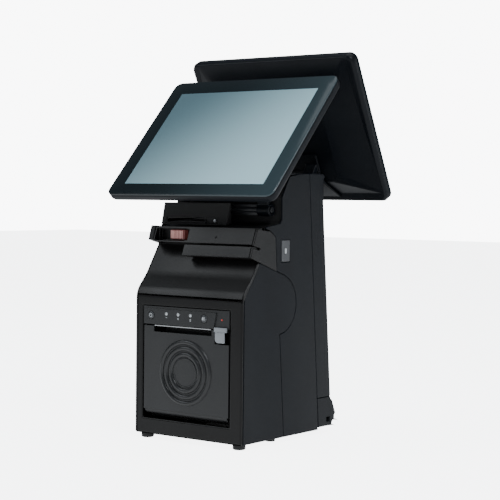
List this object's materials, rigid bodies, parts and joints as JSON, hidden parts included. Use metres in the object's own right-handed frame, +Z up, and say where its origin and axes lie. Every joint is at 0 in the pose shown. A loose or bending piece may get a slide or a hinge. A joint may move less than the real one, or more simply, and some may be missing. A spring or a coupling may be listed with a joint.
{
  "type": "pos touchscreen terminal",
  "caption": "Countertop sales terminal: tilting touch display, rear customer display, card reader bars and front-loading receipt printer in one column.",
  "frame": {"origin": "on the counter, under the centre of the terminal's outer box", "axes": "+X to the operator's right, +Y to the back, +Z up"},
  "size_m": [0.2346, 0.2427, 0.4394],
  "materials": {
    "front_satin": "fine satin moulded black",
    "case_black": "fine textured moulded black",
    "inner_black": "moulded black",
    "panel_grey": "satin dark grey",
    "lever_grey": "satin light grey",
    "foot_rubber": "matte",
    "steel": "plated sheet",
    "alloy": "bare extruded",
    "board": "solder mask green",
    "screen_glass": "anti-glare, black border",
    "screen_panel": "liquid crystal panel",
    "clear_lens": "moulded clear",
    "red_lens": "moulded red",
    "paper": "thermal paper"
  },
  "bodies": {
    "column": {"foot_front_left": "foot_rubber", "foot_front_right": "foot_rubber", "foot_rear_left": "foot_rubber", "foot_rear_right": "foot_rubber", "printer_front_cover": "front_satin", "card_reader_upper_bar": "front_satin", "card_reader_lower_bar": "front_satin", "card_reader_end_cap": "front_satin", "card_reader_end_plate": "front_satin", "printer_side_cover_left": "case_black", "printer_side_cover_right": "case_black", "column_side_panel_left": "case_black", "column_side_panel_right": "case_black", "column_top_cap": "case_black", "column_rear_cover": "case_black", "rear_cable_cover": "case_black", "base_plate": "inner_black", "column_front_panel": "inner_black", "chip_card_module": "inner_black", "printer_frame": "inner_black", "cooling_fan_frame": "inner_black", "speaker": "inner_black", "connector_block": "inner_black", "power_inlet": "inner_black", "control_panel": "panel_grey", "storage_drive": "panel_grey", "column_chassis": "steel", "card_reading_head": "steel", "thermal_print_head": "steel", "tear_bar": "steel", "door_hinge_pin": "steel", "power_supply": "steel", "main_hinge_shaft": "steel", "customer_hinge_shaft": "steel", "heat_sink": "alloy", "mainboard": "board", "module_status_light": "clear_lens", "indicator_light_guide": "clear_lens", "scanner_window": "red_lens", "alarm_light": "red_lens"},
    "main_display": {"main_display_glass": "screen_glass", "main_display_panel": "screen_panel", "main_display_rear_housing": "case_black", "main_display_controller_board": "board", "main_display_hinge_yoke": "case_black"},
    "customer_display": {"customer_display_glass": "screen_glass", "customer_display_panel": "screen_panel", "customer_display_rear_housing": "case_black", "customer_display_controller_board": "board", "customer_display_hinge_yoke": "case_black"},
    "printer_door": {"printer_door": "front_satin"},
    "platen": {"platen_roller": "foot_rubber"},
    "paper_roll": {"paper_roll": "paper"},
    "release_lever": {"release_lever": "lever_grey"},
    "feed_button": {"feed_button": "lever_grey"},
    "printer_power_button": {"printer_power_button": "lever_grey"},
    "side_power_button": {"side_power_button": "panel_grey", "power_button_light": "clear_lens"},
    "fan_rotor": {"cooling_fan_rotor": "inner_black"}
  },
  "joints": [
    {"name": "main_display_tilt", "type": "hinge", "parent": "column", "child": "main_display", "pos_m": [0, -0.05, 0.2595], "axis": [1, 0, 0], "range_deg": [-6, 20]},
    {"name": "customer_display_tilt", "type": "hinge", "parent": "column", "child": "customer_display", "pos_m": [0, 0.056, 0.283], "axis": [1, 0, 0], "range_deg": [-20, 3]},
    {"name": "printer_door_swing", "type": "hinge", "parent": "column", "child": "printer_door", "pos_m": [-0.0036, -0.1085, 0.032], "axis": [1, 0, 0], "range_deg": [0, 80]},
    {"name": "platen_spin", "type": "hinge", "parent": "printer_door", "child": "platen", "pos_m": [-0.0036, -0.104, 0.116], "axis": [1, 0, 0], "continuous": true},
    {"name": "paper_roll_spin", "type": "hinge", "parent": "column", "child": "paper_roll", "pos_m": [-0.0036, -0.0735, 0.0705], "axis": [1, 0, 0], "continuous": true},
    {"name": "release_lever_pull", "type": "hinge", "parent": "column", "child": "release_lever", "pos_m": [0.0469, -0.108, 0.1305], "axis": [1, 0, 0], "range_deg": [-12, 0], "stiffness_Nm_per_rad": 0.05},
    {"name": "feed_button_press", "type": "slide", "parent": "column", "child": "feed_button", "axis": [0, 1, 0], "range_m": [0, 0.001], "stiffness_N_per_m": 300},
    {"name": "printer_power_press", "type": "slide", "parent": "column", "child": "printer_power_button", "axis": [0, 1, 0], "range_m": [0, 0.001], "stiffness_N_per_m": 300},
    {"name": "side_power_press", "type": "slide", "parent": "column", "child": "side_power_button", "axis": [-1, 0, 0], "range_m": [0, 0.001], "stiffness_N_per_m": 300},
    {"name": "fan_spin", "type": "hinge", "parent": "column", "child": "fan_rotor", "pos_m": [0, 0.0218, 0.2], "axis": [0, 1, 0], "continuous": true}
  ]
}
